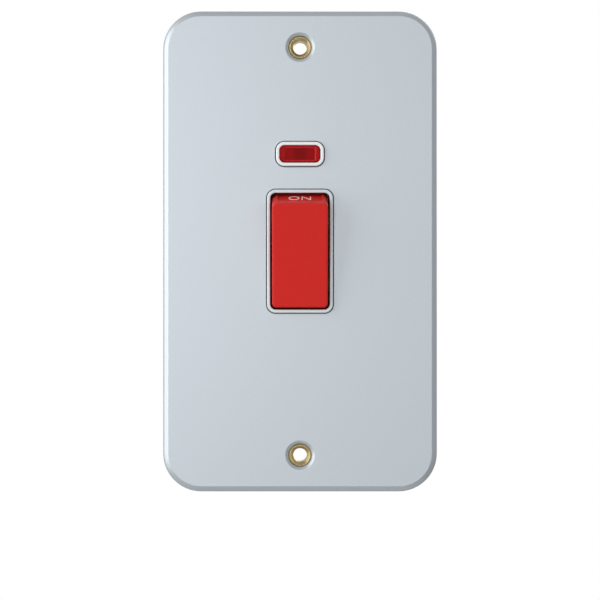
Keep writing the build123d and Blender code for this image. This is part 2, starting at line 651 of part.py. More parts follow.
def switch_base():
    """Rear moulding that holds the terminals and contacts."""
    solid = slab(RectangleRounded(2 * BASE_HALF_X, 2 * BASE_HALF_Z, BASE_CORNER), FLANGE_BACK_Y, BASE_REAR_Y)
    solid += slab(moulding_outline(), FLANGE_BACK_Y, EAR_REAR_Y)
    tower = Rectangle(TERMINAL_WIDTH + 2 * MOULD_FIT + TOWER_WALL, ACCESS_BORE + 2 * TOWER_WALL)
    tower = chamfer(tower.vertices(), TOWER_CHAMFER)
    rib_z = BASE_HALF_Z - RIB_END_GAP
    solid += block(-RIB / 2, RIB / 2, BASE_REAR_Y - EPS, TOWER_REAR_Y, -rib_z, rib_z)
    front = FLANGE_BACK_Y - EPS
    solid -= block(-WELL_HALF_X, WELL_HALF_X, front, WELL_FLOOR_Y, -WELL_HALF_Z, WELL_HALF_Z)
    solid -= block(-CHAMBER_HALF_X, CHAMBER_HALF_X, front, BASE_FLOOR_Y, -CHAMBER_HALF_Z, CHAMBER_HALF_Z)
    barrier_y = PIVOT_Y + BARRIER_BEHIND_PIVOT
    solid += block(-BARRIER / 2, BARRIER / 2, barrier_y, BASE_FLOOR_Y + EPS, -CHAMBER_HALF_Z, CHAMBER_HALF_Z)
    core_z = TERMINAL_INSET - MOULD_FIT - PARTITION
    for side in (-1, 1):
        solid += trunnion_saddle(side)
        for end in (-1, 1):
            place = Pos(side * TERMINAL_X, end * TERMINAL_Z)
            solid += slab(place * tower, BASE_REAR_Y - EPS, TOWER_REAR_Y)
            solid -= base_pocket(side, end)
        solid -= arm_slot(side, CONTACT_Z - ARM_WIDTH / 2, CONTACT_Z + ARM_WIDTH / 2)
        solid -= arm_slot(side, -TERMINAL_INSET - ARM_WIDTH, -TERMINAL_INSET)
        solid -= block(side * POCKET_X, side * POCKET_FAR_X, front, BASE_FLOOR_Y, -core_z, core_z)
        solid -= rod_z(LEAD / 2 + LEAD_HOLE_GAP, side * LEAD_X, LEAD_Y, TERMINAL_END_Z, BASE_HALF_Z + EPS)
    for x, z in EAR_PLACES:
        solid -= drum(STUD_HOLE, front, EAR_REAR_Y + EPS, x, z)
    return solid


def trunnion_saddle(side):
    """Tongue that closes one trunnion slot of the frame from behind."""
    inner = OPENING_WIDTH / 2 + MOULD_FIT / 2
    outer = FRAME_HALF_X - MOULD_FIT / 2
    half = TRUNNION / 2 + RUNNING_GAP - MOULD_FIT / 2
    front = PIVOT_Y + SADDLE_BEHIND_PIVOT
    solid = block(side * inner, side * outer, front, WELL_FLOOR_Y + EPS, -half, half)
    return solid - rod_x(TRUNNION / 2 + RUNNING_GAP, side * inner, side * (outer + EPS), PIVOT_Y, 0)


def base_pocket(side, end):
    """Pocket of one terminal, its conductor entry and its screwdriver access."""
    x = side * TERMINAL_X
    z0 = end * (TERMINAL_INSET - MOULD_FIT)
    z1 = end * (TERMINAL_END_Z + MOULD_FIT)
    hollow = block(side * POCKET_X, side * POCKET_FAR_X, FLANGE_BACK_Y - EPS, BASE_FLOOR_Y, z0, z1)
    half = ENTRY / 2
    outside = end * (BASE_HALF_Z + EPS)
    hollow += block(x - half, x + half, CONDUCTOR_Y - half, CONDUCTOR_Y + half, z1, outside)
    hollow += drum(ACCESS_BORE, BASE_FLOOR_Y - EPS, TOWER_REAR_Y + EPS, x, end * TERMINAL_Z)
    return hollow


def arm_slot(side, low, high):
    """Way from a terminal pocket into the chamber for one terminal arm."""
    inner = side * (CHAMBER_HALF_X - EPS)
    outer = side * (POCKET_X + EPS)
    return block(inner, outer, FLANGE_BACK_Y - EPS, BASE_FLOOR_Y, low - MOULD_FIT, high + MOULD_FIT)


def switch_frame():
    """White moulding with the bezel, the rocker cavity and the trunnion slots."""
    opening = RectangleRounded(OPENING_WIDTH, OPENING_HEIGHT, BEZEL_RADIUS - BEZEL_WALL)
    collar = RectangleRounded(BEZEL_WIDTH, BEZEL_HEIGHT, BEZEL_RADIUS) - opening
    collar = slab(collar, BEZEL_FRONT_Y, FLANGE_BACK_Y)
    collar = chamfer(collar.faces().sort_by(Axis.Y)[0].edges(), BEZEL_EDGE)
    carrier = NEON_WIDTH + 2 * NEON_FLANGE + 2 * NEON_CARRIER
    carrier_top = NEON_Z + NEON_HEIGHT / 2 + NEON_FLANGE + NEON_CARRIER
    outline = moulding_outline() - opening
    outline += Pos(0, carrier_top / 2) * RectangleRounded(carrier, carrier_top, BASE_CORNER) - opening
    solid = slab(outline, SHEET_BACK_Y, FLANGE_BACK_Y) + collar
    solid += block(-FRAME_HALF_X, FRAME_HALF_X, SHEET_BACK_Y, FRAME_REAR_Y, -FRAME_HALF_Z, FRAME_HALF_Z)
    half_x = OPENING_WIDTH / 2
    solid -= block(-half_x, half_x, SHEET_BACK_Y, FRAME_REAR_Y + EPS, -CAVITY_HALF_Z, CAVITY_HALF_Z)
    slot = TRUNNION / 2 + RUNNING_GAP
    outer = FRAME_HALF_X + EPS
    solid -= rod_x(slot, -outer, outer, PIVOT_Y, 0)
    solid -= block(-outer, outer, PIVOT_Y, FRAME_REAR_Y + EPS, -slot, slot)
    seat = NEON_FLANGE + MOULD_FIT
    rebate = Rectangle(NEON_WIDTH + 2 * seat, NEON_HEIGHT + 2 * seat)
    passage = Rectangle(NEON_WIDTH + 2 * MOULD_FIT, NEON_HEIGHT + 2 * MOULD_FIT)
    solid -= slab(Pos(0, NEON_Z) * rebate, SHEET_BACK_Y - EPS, SHEET_BACK_Y + NEON_FLANGE_THICKNESS)
    solid -= slab(Pos(0, NEON_Z) * passage, SHEET_BACK_Y - EPS, FLANGE_BACK_Y + EPS)
    for x, z in EAR_PLACES:
        solid -= drum(STUD_HOLE, SHEET_BACK_Y - EPS, FLANGE_BACK_Y + EPS, x, z)
    for side in (-1, 1):
        for end in (-1, 1):
            post = Pos(side * TERMINAL_X, end * TERMINAL_Z) * Rectangle(POST_WIDTH, POST_LENGTH)
            solid += slab(post, FLANGE_BACK_Y - EPS, TERMINAL_FRONT_Y - SEAT_GAP)
    return solid


def lens_outline(margin):
    """Rounded rectangle of the lens, widened by a margin."""
    width = NEON_LENS_WIDTH + 2 * margin
    return RectangleRounded(width, NEON_LENS_HEIGHT + 2 * margin, NEON_LENS_RADIUS + margin)


def plug_outline(margin):
    """Rectangle with cut corners behind the lens, for its flange and the cap, widened by a margin."""
    wide = NEON_LENS_FLANGE + margin
    outline = Rectangle(NEON_LENS_WIDTH + 2 * wide, NEON_LENS_HEIGHT + 2 * wide)
    return chamfer(outline.vertices(), NEON_LENS_RADIUS)


def neon_bezel():
    """White neon housing with a flange behind the plate."""
    inside = lens_outline(LENS_FIT)
    collar = slab(RectangleRounded(NEON_WIDTH, NEON_HEIGHT, NEON_RADIUS) - inside, NEON_FRONT_Y, NEON_REAR_Y)
    collar = chamfer(collar.faces().sort_by(Axis.Y)[0].edges(), NEON_EDGE)
    flange = Rectangle(NEON_WIDTH + 2 * NEON_FLANGE, NEON_HEIGHT + 2 * NEON_FLANGE)
    solid = collar + slab(flange - inside, SHEET_BACK_Y, SHEET_BACK_Y + NEON_FLANGE_THICKNESS)
    solid -= slab(plug_outline(LENS_FIT), LENS_STEP_Y, NEON_REAR_Y + EPS)
    notch = LEAD / 2 + LEAD_HOLE_GAP
    reach = NEON_WIDTH / 2 + EPS
    solid -= rod_x(notch, -reach, reach, LEAD_Y, 0)
    solid -= block(-reach, reach, LEAD_Y, NEON_REAR_Y + EPS, -notch, notch)
    return Pos(0, 0, NEON_Z) * solid


def neon_lens():
    """Red lens with a sunk panel and a flange behind."""
    solid = slab(lens_outline(0), LENS_FRONT_Y, LENS_REAR_Y)
    solid = chamfer(solid.faces().sort_by(Axis.Y)[0].edges(), NEON_LENS_EDGE)
    solid += slab(plug_outline(0), LENS_STEP_Y, LENS_REAR_Y)
    panel = Rectangle(NEON_PANEL_WIDTH, NEON_PANEL_HEIGHT)
    floor = LENS_FRONT_Y + NEON_PANEL_DEPTH
    solid -= extrude(at_depth(floor) * panel, amount=NEON_PANEL_DEPTH + SEAT_GAP, taper=-NEON_PANEL_SLOPE)
    return Pos(0, 0, NEON_Z) * solid


def neon_lamp():
    """Glass lamp lying across behind the lens."""
    return rod_x(LAMP / 2, -LAMP_LENGTH / 2, LAMP_LENGTH / 2, LAMP_Y, NEON_Z)


def neon_cap():
    """Rear plug of the neon: holds the lens, cradles the lamp and carries the resistor."""
    half_x = NEON_LENS_WIDTH / 2 + NEON_LENS_FLANGE
    half_z = NEON_LENS_HEIGHT / 2 + NEON_LENS_FLANGE
    plug = slab(plug_outline(0), LENS_REAR_Y, NEON_REAR_Y)
    plug -= block(CAP_LEG - half_x, half_x - CAP_LEG, LENS_REAR_Y - EPS, LAMP_Y, -half_z - EPS, half_z + EPS)
    plug -= rod_x(LAMP / 2 + SEAT_GAP, CAP_LEG - half_x, half_x - CAP_LEG, LAMP_Y, 0)
    channel = max(RESISTOR, LEAD) / 2 + LEAD_HOLE_GAP
    plug -= rod_x(channel, -half_x - EPS, half_x + EPS, LEAD_Y, 0)
    plug -= block(-half_x - EPS, half_x + EPS, LEAD_Y, NEON_REAR_Y + EPS, -channel, channel)
    return Pos(0, 0, NEON_Z) * plug


def neon_resistor():
    """Series resistor lying in the channel of the cap."""
    return rod_x(RESISTOR / 2, -RESISTOR_LENGTH / 2, RESISTOR_LENGTH / 2, LEAD_Y, NEON_Z)


def neon_lead(side):
    """Insulated lead from the resistor to the end of one load terminal."""
    points = [(side * RESISTOR_LENGTH / 2, LEAD_Y, NEON_Z)]
    for step in range(LEAD_BEND_CHORDS + 1):
        angle = math.pi / 2 * step / LEAD_BEND_CHORDS
        x = LEAD_X - LEAD_BEND * (1 - math.sin(angle))
        points.append((side * x, LEAD_Y, NEON_Z - LEAD_BEND * (1 - math.cos(angle))))
    points.append((side * LEAD_X, LEAD_Y, TERMINAL_END_Z))
    path = Polyline(*points)
    section = Plane(origin=path @ 0, z_dir=path % 0) * RegularPolygon(LEAD / 2, LEAD_SIDES)
    return sweep(section, path=path, transition=Transition.RIGHT)


def pieces():
    """Every piece under its node name."""
    made = {
        "front_plate": front_plate(),
        "upper_fixing_bush": fixing_bush(FIXING_Z, SHEET_BACK_Y),
        "lower_fixing_bush": fixing_bush(-FIXING_Z, STRAP_BACK_Y),
        "earth_strap": earth_strap(),
        "plate_studs": plate_studs(),
        "stud_nuts": stud_nuts(),
        "switch_frame": switch_frame(),
        "switch_base": switch_base(),
        "rocker": rocker(),
        "neon_bezel": neon_bezel(),
        "neon_lens": neon_lens(),
        "neon_lamp": neon_lamp(),
        "neon_cap": neon_cap(),
        "neon_resistor": neon_resistor(),
    }
    for hand, side in (("left", -1), ("right", 1)):
        made[f"earth_terminal_{hand}"] = earth_terminal(side)
        made[f"earth_screw_{hand}"] = earth_screw(side)
    for pole, side in (("line", -1), ("neutral", 1)):
        made[f"{pole}_plunger"] = plunger(side)
        made[f"{pole}_plunger_spring"] = plunger_spring(side)
        made[f"{pole}_moving_contact"] = moving_contact(side)
        made[f"{pole}_moving_tip"] = moving_tip(side)
        made[f"{pole}_fixed_contact"] = fixed_contact(side)
        made[f"{pole}_load_terminal"] = load_terminal(side)
        made[f"{pole}_supply_terminal"] = supply_terminal(side)
        made[f"{pole}_load_screw"] = terminal_screw(side, 1)
        made[f"{pole}_supply_screw"] = terminal_screw(side, -1)
        made[f"{pole}_neon_lead"] = neon_lead(side)
    return made


os.makedirs("parts", exist_ok=True)
for name, shape in pieces().items():
    export_step(shape, f"parts/{name}.step")
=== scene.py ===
import json
import math

import bmesh
import bpy
from mathutils import Matrix, Vector


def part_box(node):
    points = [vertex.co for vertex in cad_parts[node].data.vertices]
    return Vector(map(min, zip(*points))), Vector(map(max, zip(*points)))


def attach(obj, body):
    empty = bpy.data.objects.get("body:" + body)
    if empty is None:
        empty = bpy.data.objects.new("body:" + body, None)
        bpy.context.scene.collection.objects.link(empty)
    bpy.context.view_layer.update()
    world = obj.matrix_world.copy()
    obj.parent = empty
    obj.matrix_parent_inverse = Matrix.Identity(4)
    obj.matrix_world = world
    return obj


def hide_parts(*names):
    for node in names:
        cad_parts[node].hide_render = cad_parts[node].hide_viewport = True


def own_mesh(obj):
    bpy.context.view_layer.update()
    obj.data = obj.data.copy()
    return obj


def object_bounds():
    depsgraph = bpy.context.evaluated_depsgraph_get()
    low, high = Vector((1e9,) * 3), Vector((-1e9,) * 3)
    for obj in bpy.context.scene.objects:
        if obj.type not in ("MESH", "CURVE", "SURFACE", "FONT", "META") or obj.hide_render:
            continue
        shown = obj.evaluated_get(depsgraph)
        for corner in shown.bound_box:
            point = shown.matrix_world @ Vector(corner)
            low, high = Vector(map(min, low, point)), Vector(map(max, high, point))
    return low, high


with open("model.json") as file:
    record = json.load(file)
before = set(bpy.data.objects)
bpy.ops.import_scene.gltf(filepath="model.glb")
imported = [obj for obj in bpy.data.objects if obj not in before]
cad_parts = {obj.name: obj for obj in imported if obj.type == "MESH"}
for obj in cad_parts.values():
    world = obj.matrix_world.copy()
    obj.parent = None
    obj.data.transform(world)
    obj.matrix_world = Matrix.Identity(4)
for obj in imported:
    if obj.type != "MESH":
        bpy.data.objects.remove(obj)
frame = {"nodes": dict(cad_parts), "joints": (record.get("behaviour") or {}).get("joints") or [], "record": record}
cad_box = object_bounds()

# Looks of a metal clad double pole switch. Everything is in metres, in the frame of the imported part.
MM = 0.001

# The photograph: its height in the plane of the plate's face, and where the camera stood
PHOTO_HEIGHT = 177.2 * MM
CAMERA_DISTANCE = 600.0 * MM
CAMERA_Z = -14.4 * MM
SENSOR = 36.0
CLIP_START = 10.0 * MM

# Colours, linear
PLATE_GREY = (0.52, 0.57, 0.61)
BRASS = (0.55, 0.45, 0.24)
STEEL = (0.56, 0.57, 0.58)
WHITE_PLASTIC = (0.84, 0.85, 0.86)
# The rocker's frame: the white moulding made darker and bluer, as painted shade
FRAME_PAINTED_SHADE_WHITE = (0.68, 0.735, 0.755)
BASE_PLASTIC = (0.72, 0.70, 0.64)
PLUNGER_PLASTIC = (0.66, 0.65, 0.60)
ROCKER_RED = (0.63, 0.026, 0.022)
LENS_RED = (0.36, 0.004, 0.005)
LAMP_GLASS = (0.85, 0.80, 0.76)
COPPER = (0.66, 0.32, 0.20)
SILVER = (0.80, 0.80, 0.78)
SPRING_STEEL = (0.42, 0.43, 0.44)
RESISTOR_TAN = (0.52, 0.36, 0.20)
BROWN = (0.12, 0.045, 0.02)
BLUE = (0.02, 0.08, 0.36)
# The legend's pale ink, tinted pink as painted red light bounced from the rocker round it
LEGEND_INK_AND_PAINTED_BOUNCE = (0.98, 0.70, 0.67)
FLOOR_GREY = (0.75, 0.75, 0.75)

# Surfaces: detail and roughness of their noise, the part of it over which a colour changes,
# and the samples with which edges are rounded for the light
NOISE_DETAIL = 4.0
NOISE_ROUGHNESS = 0.6
NOISE_PART = (0.3, 0.7)
EDGE_SAMPLES = 6

# Painted shade in the gaps round the white mouldings: reach, tint of the painted shade, and how open a spot in
# full painted shade and one without it are
GAP_REACH = 1.5 * MM
GAP_PAINTED_SHADE = (0.3, 0.31, 0.32, 1.0)
GAP_OPENING = (0.25, 0.75)
GAP_SAMPLES = 8

# The lens: half sizes of its sunk panel, the painted highlight on the rim round it and the painted shade
# of the lamp behind it, then their tints
PANEL_HALF_X = 4.4 * MM
PANEL_HALF_Z = 1.7 * MM
PANEL_SOFT = 0.1 * MM
PANEL_RIM = 0.35 * MM
LAMP_HALF_X = 1.8 * MM
RIM_PAINTED_HIGHLIGHT = (1.4, 5.0, 5.0, 1.0)
PANEL_TINT = (0.55, 0.15, 0.15, 1.0)
LAMP_PAINTED_SHADE = (0.75, 0.8, 0.7, 1.0)

# Legend on the rocker: the part's own rocker sizes, then the letters and the font's height of a capital
ROCKER_RISE = 10.0 * MM
ROCKER_HALF = 15.25 * MM
ROCKER_END_DRAFT = math.radians(16.0)
LEGEND_FROM_CREASE = 2.2 * MM
LEGEND_SLOPE = math.radians(5.0)
LETTER_HEIGHT = 3.7 * MM
LETTER_NARROW = 0.85
LETTER_RISE = 1.2 * MM
LETTER_RELIEF = 0.03 * MM
LETTER_THINNED = 0.04 * MM
CAPITAL = 0.7

# Rounding of the front pieces' edges: least and greatest turn of an edge in degrees, and how far it is
# cut back. The plate's come in the order of its outer edge, the lips of its fixing holes and its face's edge.
PLATE_ROUNDS = ((48.0, 60.0, 0.75 * MM), (42.0, 48.0, 0.45 * MM), (25.0, 42.0, 0.15 * MM))
ROCKER_ROUNDS = ((25.0, 60.0, 0.4 * MM),)
ROUND_SEGMENTS = 4
WELD = 0.0005 * MM
FLAT = math.radians(0.5)
SHARP = math.radians(25.0)

# Threads: pitches of the studs and the screws, depth as a share of the pitch, profile as shares of pitch
# and depth, steps in a turn, how far the core lies inside the root, and the heights of the screws' heads
STUD_PITCH = 0.5 * MM
SCREW_PITCH = 0.7 * MM
THREAD_DEPTH = 0.54
THREAD_PROFILE = ((0.0, 0.0), (0.375, 1.0), (0.5, 1.0), (0.875, 0.0))
THREAD_STEPS = 24
CORE_INSIDE = 0.05 * MM
SCREW_HEAD = 3.0 * MM
EARTH_SCREW_HEAD = 2.4 * MM

# Leads of the neon: how far before a corner they begin to bend, and the steps of their roundness
LEAD_BEND = 4.5 * MM
LEAD_STEPS = 5

# Floor, room and backdrop. The room's light fades to its lower level between the horizon and a direction
# below it. The backdrop begins and is full at these directions towards the rear.
FLOOR_BELOW = 1000.0 * MM
FLOOR_HALF = 2.0
FLOOR_FULL = FLOOR_HALF / 3
ROOM_LIGHT = 0.43
ROOM_BELOW = 0.2
ROOM_FADE = (-0.5, 0.0)
BACKDROP_EDGE = (0.97, 0.99)
WHITE = (1.0, 1.0, 1.0, 1.0)

# Lamps, all aimed at the middle of the part: name, place, width and height, watts. A soft key stands in front
# to the left, a long lamp at the left lights the bevel, a weak fill is at the right, one lights the rear.
LAMPS = (
    ("key", (-0.36, -1.33, 0.08), (0.5, 0.5), 4.2),
    ("side", (-0.59, -0.23, 0.08), (0.5, 0.8), 3.7),
    ("fill", (0.70, -1.10, 0.10), (0.6, 0.6), 2.2),
    ("rear", (0.60, 1.10, 0.60), (1.2, 1.2), 7.0),
)


def scaled(colour, factor):
    """Colour made lighter or darker, with alpha."""
    return tuple(min(1.0, c * factor) for c in colour) + (1.0,)


def combined(tree, operation, first, second):
    """Socket with two values put together."""
    both = tree.nodes.new("ShaderNodeMath")
    both.operation = operation
    tree.links.new(first, both.inputs[0])
    tree.links.new(second, both.inputs[1])
    return both.outputs["Value"]


def mapped(tree, value, source, target, curve="LINEAR"):
    """Socket with a value brought from one pair of limits to another."""
    node = tree.nodes.new("ShaderNodeMapRange")
    node.interpolation_type = curve
    node.inputs["From Min"].default_value, node.inputs["From Max"].default_value = source
    node.inputs["To Min"].default_value, node.inputs["To Max"].default_value = target
    tree.links.new(value, node.inputs["Value"])
    return node.outputs["Result"]


def finish(name, colour, spread, grain, roughness, bump, soft_edge=0.0, **sockets):
    """Principled material whose colour, roughness and surface vary with noise of one grain size.

    spread is the share by which the colour varies, roughness a pair of limits, bump the height of the
    grain, soft_edge the radius to which sharp edges are rounded for the light.
    """
    material = bpy.data.materials.new(name)
    material.use_nodes = True
    tree = material.node_tree
    nodes = tree.nodes
    link = tree.links.new
    shader = nodes["Principled BSDF"]
    coords = nodes.new("ShaderNodeTexCoord")
    noise = nodes.new("ShaderNodeTexNoise")
    noise.inputs["Scale"].default_value = 1.0 / grain
    noise.inputs["Detail"].default_value = NOISE_DETAIL
    noise.inputs["Roughness"].default_value = NOISE_ROUGHNESS
    link(coords.outputs["Object"], noise.inputs["Vector"])
    shade = nodes.new("ShaderNodeValToRGB")
    for stop, position, factor in zip(shade.color_ramp.elements, NOISE_PART, (1.0 - spread, 1.0 + spread)):
        stop.position = position
        stop.color = scaled(colour, factor)
    link(noise.outputs["Fac"], shade.inputs["Fac"])
    link(shade.outputs["Color"], shader.inputs["Base Color"])
    link(mapped(tree, noise.outputs["Fac"], (0.0, 1.0), roughness), shader.inputs["Roughness"])
    relief = nodes.new("ShaderNodeBump")
    relief.inputs["Strength"].default_value = 1.0
    relief.inputs["Distance"].default_value = bump
    link(noise.outputs["Fac"], relief.inputs["Height"])
    link(relief.outputs["Normal"], shader.inputs["Normal"])
    if soft_edge:
        bevel = nodes.new("ShaderNodeBevel")
        bevel.samples = EDGE_SAMPLES
        bevel.inputs["Radius"].default_value = soft_edge
        link(bevel.outputs["Normal"], relief.inputs["Normal"])
    for socket, value in sockets.items():
        shader.inputs[socket].default_value = value
    return material


def band(material, axis, centre, half, soft):
    """Socket that is 1 within a half width of a place along one axis of the piece, and 0 beyond."""
    tree = material.node_tree
    coords = tree.nodes.new("ShaderNodeTexCoord")
    split = tree.nodes.new("ShaderNodeSeparateXYZ")
    tree.links.new(coords.outputs["Object"], split.inputs["Vector"])
    away = tree.nodes.new("ShaderNodeMath")
    away.operation = "SUBTRACT"
    away.inputs[1].default_value = centre
    tree.links.new(split.outputs[axis], away.inputs[0])
    size = tree.nodes.new("ShaderNodeMath")
    size.operation = "ABSOLUTE"
    tree.links.new(away.outputs["Value"], size.inputs[0])
    return mapped(tree, size.outputs["Value"], (half - soft, half + soft), (1.0, 0.0), "SMOOTHSTEP")


def painted_gap_shade(material):
    """Socket for painted shade: 1 deep in a narrow gap, and 0 on open faces."""
    tree = material.node_tree
    opening = tree.nodes.new("ShaderNodeAmbientOcclusion")
    opening.samples = GAP_SAMPLES
    opening.inputs["Distance"].default_value = GAP_REACH
    return mapped(tree, opening.outputs["AO"], GAP_OPENING, (1.0, 0.0))


def tint(material, colour, *masks):
    """Multiply the colour of a material by another where all masks are 1."""
    tree = material.node_tree
    where = masks[0]
    for mask in masks[1:]:
        where = combined(tree, "MULTIPLY", where, mask)
    base = tree.nodes["Principled BSDF"].inputs["Base Color"]
    mix = tree.nodes.new("ShaderNodeMixRGB")
    mix.blend_type = "MULTIPLY"
    mix.inputs["Color2"].default_value = colour
    tree.links.new(where, mix.inputs["Fac"])
    tree.links.new(base.links[0].from_socket, mix.inputs["Color1"])
    tree.links.new(mix.outputs["Color"], base)


def moulding(name, colour):
    """Smooth white moulding, with painted shade darkening the gaps round it."""
    material = finish(name, colour, 0.012, 0.8 * MM, (0.16, 0.24), 0.001 * MM, 0.08 * MM)
    # Painted shade: the colour is darkened where ambient occlusion finds a narrow gap.
    tint(material, GAP_PAINTED_SHADE, painted_gap_shade(material))
    return material


def lens_material():
    """Clear red of the lens, with its sunk panel darker, a painted highlight on the rim round it and painted shade
    of the lamp behind it.
    """
    material = finish("red_lens", LENS_RED, 0.06, 1.2 * MM, (0.08, 0.14), 0.002 * MM, 0.1 * MM,
                      **{"Specular IOR Level": 0.15})
    low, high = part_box("neon_lens")
    middle = (low[2] + high[2]) / 2

    def panel(grow):
        return (band(material, "X", 0.0, PANEL_HALF_X + grow, PANEL_SOFT),
                band(material, "Z", middle, PANEL_HALF_Z + grow, PANEL_SOFT))

    sunk = panel(0.0)
    # Painted highlight: the rim round the sunk panel is made lighter.
    tint(material, RIM_PAINTED_HIGHLIGHT, *panel(PANEL_RIM))
    tint(material, PANEL_TINT, *sunk)
    # Painted shade: a darker band where the lamp stands behind the lens.
    tint(material, LAMP_PAINTED_SHADE, *sunk, band(material, "X", 0.0, LAMP_HALF_X, LAMP_HALF_X / 2))
    return material


def slot_materials():
    """One material for each material slot of the record."""
    return {
        "plate_paint": finish("plate_paint", PLATE_GREY, 0.03, 0.5 * MM, (0.44, 0.50), 0.004 * MM,
                              **{"Specular IOR Level": 0.8, "Metallic": 0.5}),
        "brass": finish("brass", BRASS, 0.06, 0.25 * MM, (0.24, 0.34), 0.001 * MM, 0.1 * MM, Metallic=1.0),
        "plated_steel": finish("plated_steel", STEEL, 0.06, 0.3 * MM, (0.25, 0.4), 0.003 * MM, 0.1 * MM,
                               Metallic=1.0),
        "white_moulding": moulding("white_moulding", WHITE_PLASTIC),
        "base_moulding": finish("base_moulding", BASE_PLASTIC, 0.03, 0.6 * MM, (0.4, 0.52), 0.006 * MM,
                                0.3 * MM),
        "red_rocker": finish("red_rocker", ROCKER_RED, 0.03, 0.7 * MM, (0.18, 0.26), 0.001 * MM, 0.1 * MM,
                             **{"Specular IOR Level": 0.08}),
        "red_lens": lens_material(),
        "lamp_glass": finish("lamp_glass", LAMP_GLASS, 0.03, 2.0 * MM, (0.03, 0.06), 0.001 * MM,
                             **{"Transmission Weight": 0.6}),
        "copper": finish("copper", COPPER, 0.08, 0.5 * MM, (0.25, 0.4), 0.003 * MM, Metallic=1.0),
        "silver": finish("silver", SILVER, 0.05, 0.4 * MM, (0.2, 0.32), 0.002 * MM, Metallic=1.0),
        "spring_steel": finish("spring_steel", SPRING_STEEL, 0.06, 0.3 * MM, (0.25, 0.38), 0.002 * MM,
                               Metallic=1.0),
        "plunger_moulding": finish("plunger_moulding", PLUNGER_PLASTIC, 0.03, 0.6 * MM, (0.35, 0.45),
                                   0.003 * MM),
        "resistor_coat": finish("resistor_coat", RESISTOR_TAN, 0.08, 0.5 * MM, (0.35, 0.5), 0.006 * MM),
        "brown_lead": finish("brown_lead", BROWN, 0.08, 0.6 * MM, (0.35, 0.45), 0.004 * MM),
        "blue_lead": finish("blue_lead", BLUE, 0.08, 0.6 * MM, (0.35, 0.45), 0.004 * MM),
    }


def dress(piece, material):
    """Give a piece one material."""
    piece.data.materials.clear()
    piece.data.materials.append(material)


def dress_nodes(materials):
    """Give every CAD node the material of its slot, and the rocker's frame a darker, bluer copy of the white
    moulding as painted shade.
    """
    for part in frame["record"]["subparts"]:
        dress(frame["nodes"][part["node"]], materials[part["material_slot"]])
    dress(frame["nodes"]["switch_frame"], moulding("frame_moulding_painted_shade", FRAME_PAINTED_SHADE_WHITE))


def new_piece(name, data):
    """Put a new object into the scene."""
    piece = bpy.data.objects.new(name, data)
    bpy.context.collection.objects.link(piece)
    return piece


def stand_in(node, ending, data, material, body):
    """Show a new piece in a CAD node's place, named after the node."""
    piece = new_piece(f"{node}_{ending}", data)
    dress(piece, material)
    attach(piece, body)
    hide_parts(node)
    return piece


def cad_mesh(node):
    """Mesh of a CAD node, to work on a copy of it."""
    source = frame["nodes"][node]
    work = bmesh.new()
    work.from_mesh(source.data)
    work.transform(source.matrix_world)
    bmesh.ops.remove_doubles(work, verts=work.verts, dist=WELD)
    return work


def smooth_mesh(name, work):
    """What was worked on as a mesh, smooth but for its sharp edges."""
    mesh = bpy.data.meshes.new(name)
    work.to_mesh(mesh)
    work.free()
    mesh.shade_smooth()
    mesh.set_sharp_from_angle(angle=SHARP)
    return mesh


def round_edges(node, rounds, material, body):
    """A copy of a CAD node with its sharp edges rounded, in its place."""
    work = cad_mesh(node)
    bmesh.ops.dissolve_limit(work, angle_limit=FLAT, verts=work.verts, edges=work.edges)
    for least, greatest, cut in rounds:
        joints = [e for e in work.edges if e.is_manifold]
        turned = [e for e in joints if least < math.degrees(e.calc_face_angle()) < greatest]
        bmesh.ops.bevel(work, geom=turned, offset=cut, segments=ROUND_SEGMENTS, profile=0.5, affect="EDGES",
                        clamp_overlap=True)
    piece = stand_in(node, "rounded", smooth_mesh(f"{node}_rounded", work), material, body)
    normals = piece.modifiers.new("normals", "WEIGHTED_NORMAL")
    normals.keep_sharp = True


def add_rod(work, x, z, start, end, radius, pitch):
    """Add a closed threaded rod along Y to the mesh that is worked on."""
    depth = THREAD_DEPTH * pitch
    root = radius - depth
    rings = []
    for turn in range(-1, math.ceil((end - start) / pitch) + 2):
        for share, height in THREAD_PROFILE:
            ring = []
            for step in range(THREAD_STEPS):
                part = step / THREAD_STEPS
                y = start + pitch * (turn + share + part)
                out = root + depth * height if start + WELD < y < end - WELD else root
                angle = 2 * math.pi * part
                place = (x + out * math.cos(angle), min(max(y, start), end), z + out * math.sin(angle))
                ring.append(work.verts.new(place))
            rings.append(ring)
    turn_on = len(THREAD_PROFILE)
    for row in range(len(rings) - turn_on - 1):
        lower = rings[row] + rings[row + turn_on][:1]
        upper = rings[row + 1] + rings[row + 1 + turn_on][:1]
        for step in range(THREAD_STEPS):
            work.faces.new((lower[step], lower[step + 1], upper[step + 1], upper[step]))
    bmesh.ops.remove_doubles(work, verts=[v for ring in rings for v in ring], dist=WELD)
    bmesh.ops.holes_fill(work, edges=[e for e in work.edges if e.is_boundary], sides=0)
    bmesh.ops.recalc_face_normals(work, faces=work.faces)


def threaded_mesh(node, work):
    """What was worked on as a smooth mesh, with the round ends of its rods flat."""
    mesh = smooth_mesh(f"{node}_threaded", work)
    for face in mesh.polygons:
        if face.loop_total == THREAD_STEPS:
            face.use_smooth = False
    return mesh


def add_screw(node, head, material):
    """A screw with its thread in place of the plain one. Its CAD head stays, on a thinner core."""
    low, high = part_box(node)
    x = (low[0] + high[0]) / 2
    z = (low[2] + high[2]) / 2
    under_head = high[1] - head
    work = cad_mesh(node)
    reach = {v: math.hypot(v.co.x - x, v.co.z - z) for v in work.verts}
    radius = max(reach[v] for v in work.verts if v.co.y < under_head - CORE_INSIDE)
    shrink = (radius - THREAD_DEPTH * SCREW_PITCH - CORE_INSIDE) / radius
    for v in work.verts:
        if v.co.y < under_head + WELD and reach[v] < radius + CORE_INSIDE:
            v.co.x = x + (v.co.x - x) * shrink
            v.co.z = z + (v.co.z - z) * shrink
    add_rod(work, x, z, low[1] + CORE_INSIDE, under_head + CORE_INSIDE, radius, SCREW_PITCH)
    stand_in(node, "threaded", threaded_mesh(node, work), material, node)


